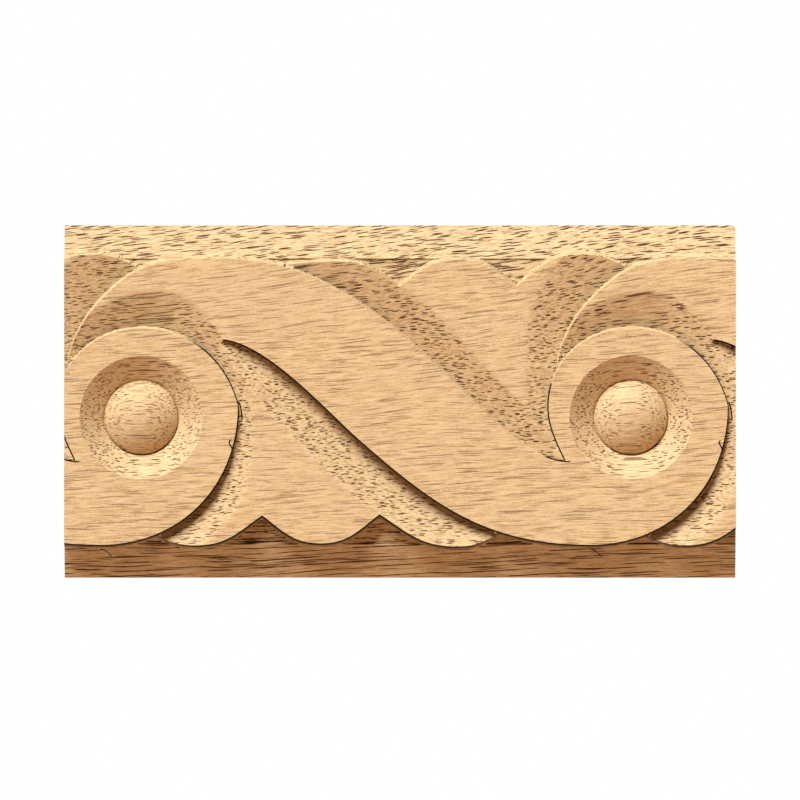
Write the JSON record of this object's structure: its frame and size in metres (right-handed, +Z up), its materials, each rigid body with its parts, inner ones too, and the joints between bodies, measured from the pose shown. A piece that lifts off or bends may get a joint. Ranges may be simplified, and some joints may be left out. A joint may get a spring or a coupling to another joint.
{
  "type": "carved trim strip",
  "caption": "Length of carved hardwood frieze moulding with a running scroll, domed ring eyes and lobed leaves between sloping borders, flat on the back.",
  "frame": {"origin": "centre of the flat back face, where the strip is glued or nailed to its ground", "axes": "+X along the strip, +Y into the wall that the back lies on, +Z up, the carved face looks along -Y"},
  "size_m": [0.1142, 0.012, 0.06],
  "materials": {
    "wood": "unfinished light hardwood, fine straight grain with short dark pores, left from the cutter"
  },
  "bodies": {
    "root": {"carved_strip": "wood"}
  },
  "joints": []
}
